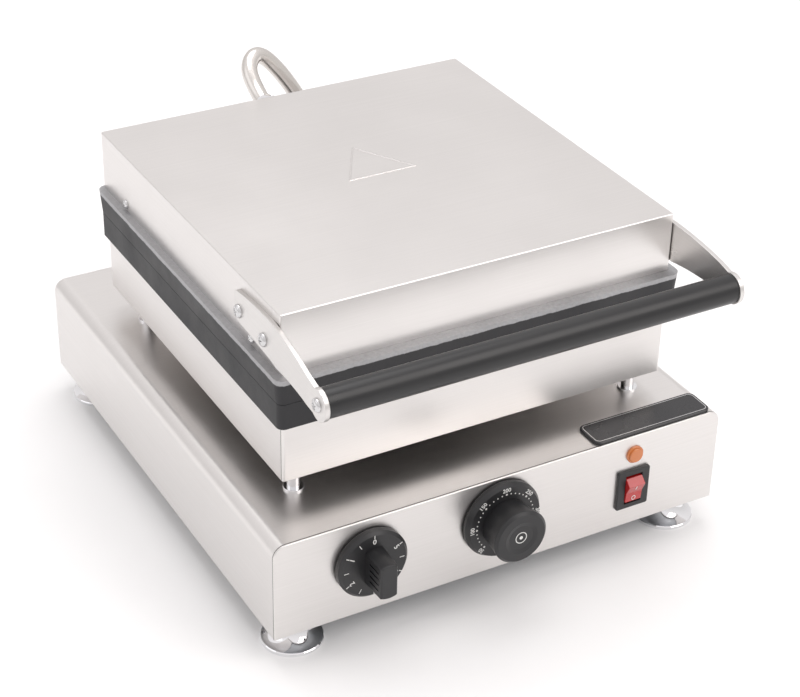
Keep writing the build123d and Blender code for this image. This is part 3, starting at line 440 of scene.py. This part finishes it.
# Printed marks and numbers
def text_mesh(body, size, bold=0.0):
    curve = bpy.data.curves.new("text", "FONT")
    curve.body = body
    curve.size = size / 1000
    curve.align_x = "CENTER"
    curve.align_y = "CENTER"
    curve.extrude = 0.00004
    curve.offset = bold / 1000
    curve.resolution_u = 4
    o = bpy.data.objects.new("text", curve)
    bpy.context.scene.collection.objects.link(o)
    data = bpy.data.meshes.new_from_object(o.evaluated_get(bpy.context.evaluated_depsgraph_get()))
    bpy.data.objects.remove(o)
    out = [v.co * 1000 for v in data.vertices], [tuple(p.vertices) for p in data.polygons]
    bpy.data.meshes.remove(data)
    return out


def on_dial(shape, centre, y, radius, angle, spin):
    """Stand a flat shape on a dial facing the front: angle in degrees clockwise from the top."""
    a = math.radians(angle)
    s = math.radians(spin)
    verts = []
    for v in shape[0]:
        x = v[0] * math.cos(s) + v[1] * math.sin(s)
        z = -v[0] * math.sin(s) + v[1] * math.cos(s)
        verts.append(m(centre[0] + radius * math.sin(a) + x, y - v[2], centre[1] + radius * math.cos(a) + z))
    return verts, shape[1]


def disc(r, sides=16, z=0.05):
    v = [Vector((r * math.cos(2 * math.pi * k / sides), r * math.sin(2 * math.pi * k / sides), h))
         for h in (z, -z) for k in range(sides)]
    f = [tuple(range(sides)), tuple(reversed(range(sides, 2 * sides)))]
    f += [(k, (k + 1) % sides, sides + (k + 1) % sides, sides + k) for k in range(sides)]
    return v, f


def bar(w, h, z=0.05):
    v = [Vector((sx * w / 2, sy * h / 2, sz * z)) for sz in both for sx, sy in ((-1, -1), (1, -1), (1, 1), (-1, 1))]
    return v, [(3, 2, 1, 0), (4, 5, 6, 7), (0, 1, 5, 4), (1, 2, 6, 5), (2, 3, 7, 6), (3, 0, 4, 7)]


def ring(r, w, z=0.05, sides=40, squeeze=1.0):
    v, f = [], []
    for k in range(sides):
        a = 2 * math.pi * k / sides
        for rr, h in ((r, -z), (r, z), (r - w, z), (r - w, -z)):
            v.append(Vector((rr * squeeze * math.cos(a), rr * math.sin(a), h)))
    for k in range(sides):
        n = 4 * k
        q = 4 * ((k + 1) % sides)
        for i in range(4):
            j = (i + 1) % 4
            f.append((n + i, q + i, q + j, n + j))
    return v, f


def printed(name, parts, body, mat=white_print):
    v, f = gather(parts)
    o = mesh_object(name, v, f, mat, smooth=False)
    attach(o, body)
    return o


marks = []
for step in range(26):
    value = 50 + 10 * step
    angle = (value - 200) * 0.9
    big = value % 50 == 0
    marks.append(on_dial(disc(0.75 if big else 0.5), THERMOSTAT, SKIRT_FRONT - 0.02, 21.6, angle, angle))
    if big:
        number = text_mesh(str(value), 4.2, 0.08)
        marks.append(on_dial(number, THERMOSTAT, SKIRT_FRONT - 0.02, 24.7, angle, angle))
printed("thermostat_scale", marks, "thermostat_dial")
face_y = FRONT - 27.5 + 0.9
printed("thermostat_face_mark", [on_dial(ring(4.3, 0.6), THERMOSTAT, face_y - 0.14, 0, 0, 0),
                                 on_dial(disc(1.3), THERMOSTAT, face_y - 0.14, 0, 0, 0)], "thermostat_dial")

marks = []
for step in range(11):
    angle = -30 * step
    if step % 2 == 0:
        number = text_mesh(str(step // 2), 5.2, 0.09)
        marks.append(on_dial(number, TIMER, SKIRT_FRONT - 0.02, 18.2, angle, angle))
        marks.append(on_dial(bar(0.55, 2.4), TIMER, SKIRT_FRONT - 0.02, 22.0, angle, angle))
    else:
        marks.append(on_dial(bar(0.5, 3.4), TIMER, SKIRT_FRONT - 0.02, 20.0, angle, angle))
printed("timer_scale", marks, "timer_dial")

# Rocker's printed ring and dash, on its tilted faces
tilt = math.radians(15)
pivot = Vector((SWITCH[0], FRONT + 3.2, SWITCH[1]))


def rocker_face(shape, up_by, lower):
    """Place a flat shape on the rocker's lower or upper face, up_by mm from the ridge."""
    sign = -1 if lower else 1
    verts = []
    for v in shape[0]:
        along = sign * up_by + v[1]
        out = 7.4 + 1.2 * abs(along) / 7.5 + 0.05 + v[2]
        y = -out * math.cos(tilt) - along * math.sin(tilt)
        z = -out * math.sin(tilt) + along * math.cos(tilt)
        verts.append((pivot + Vector((v[0], y, z))) / 1000)
    return verts, shape[1]


printed("rocker_marks", [rocker_face(ring(1.9, 0.5, squeeze=0.85), 4.9, True),
                         rocker_face(bar(0.6, 3.4), 4.9, False)], "rocker", white_print)

# Badge border and lamp lens
bw, bd, br = 94 / 2 - 1.6, 24 / 2 - 1.6, 3.6
loop = []
corners = ((bw - br, bd - br, 0), (-bw + br, bd - br, 90), (-bw + br, -bd + br, 180), (bw - br, -bd + br, 270))
for cx, cy, a0 in corners:
    for k in range(7):
        a = math.radians(a0 + 15 * k)
        loop.append((cx, cy, a))
v, f = [], []
for cx, cy, a in loop:
    for rr, h in ((br, 0.0), (br, 0.06), (br - 0.5, 0.06), (br - 0.5, 0.0)):
        v.append(m(116.5 + cx + rr * math.cos(a), FRONT + 13.5 + cy + rr * math.sin(a), BASE_TOP + 1.98 + h))
for k in range(len(loop)):
    n, q = 4 * k, 4 * ((k + 1) % len(loop))
    f += [(n + i, q + i, q + (i + 1) % 4, n + (i + 1) % 4) for i in range(4)]
border = mesh_object("badge_border", v, f, silver_line, smooth=False)
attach(border, "base")

sides = 48
lens_profile = [(6.5, 0), (6.5, 1.1), (6.2, 1.4), (5.3, 1.5), (5.2, 2.7), (4.9, 3.0), (2.5, 3.05), (0, 3.1)]
v, f = lathe(lens_profile, (LAMP[0], FRONT, LAMP[1]), (0, -1, 0), sides)
lens = mesh_object("lamp_lens_turned", v, f, amber)
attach(lens, "base")
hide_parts("lamp_lens")


# Floor, backdrop and light
floor = mesh_object("floor", [(-9, -9, 0), (9, -9, 0), (9, 9, 0), (-9, 9, 0)], [(0, 1, 2, 3)],
                    plain("floor_paper", (0.93, 0.93, 0.93), (0.91, 0.91, 0.91), 0.6, scale=40.0, strength=0.02),
                    False)

sky = bpy.data.worlds.new("studio")
bpy.context.scene.world = sky
sky.use_nodes = True
tree = sky.node_tree
bg = tree.nodes["Background"]
co = tree.nodes.new("ShaderNodeTexCoord")
sep = tree.nodes.new("ShaderNodeSeparateXYZ")
tree.links.new(co.outputs["Generated"], sep.inputs[0])
ramp = tree.nodes.new("ShaderNodeValToRGB")
ramp.color_ramp.elements[0].position = 0.0
ramp.color_ramp.elements[0].color = (0.70, 0.685, 0.675, 1)
ramp.color_ramp.elements[1].position = 1.0
ramp.color_ramp.elements[1].color = (0.97, 0.94, 0.945, 1)
tree.links.new(sep.outputs["Z"], ramp.inputs["Fac"])
tree.links.new(ramp.outputs["Color"], bg.inputs["Color"])
bg.inputs["Strength"].default_value = 1.07


def softbox(name, place, target, size, power, colour=(1, 1, 1)):
    data = bpy.data.lights.new(name, "AREA")
    data.shape = "RECTANGLE"
    data.size, data.size_y = size
    data.energy = power
    data.color = colour
    o = bpy.data.objects.new(name, data)
    bpy.context.scene.collection.objects.link(o)
    o.location = place
    o.rotation_euler = (Vector(target) - Vector(place)).to_track_quat("-Z", "Y").to_euler()


softbox("key", (0.9, -1.3, 1.7), (0, 0, 0.1), (1.3, 1.3), 11, (1.0, 0.96, 0.93))
softbox("fill", (-1.8, 0.4, 1.1), (0, 0, 0.1), (1.2, 1.2), 2, (0.95, 0.97, 1.0))
softbox("top", (0.1, 0.5, 2.2), (0, 0, 0.1), (1.6, 1.6), 15)
bpy.context.scene.view_settings.view_transform = "Standard"

print("hose length", round(hose_length, 4))
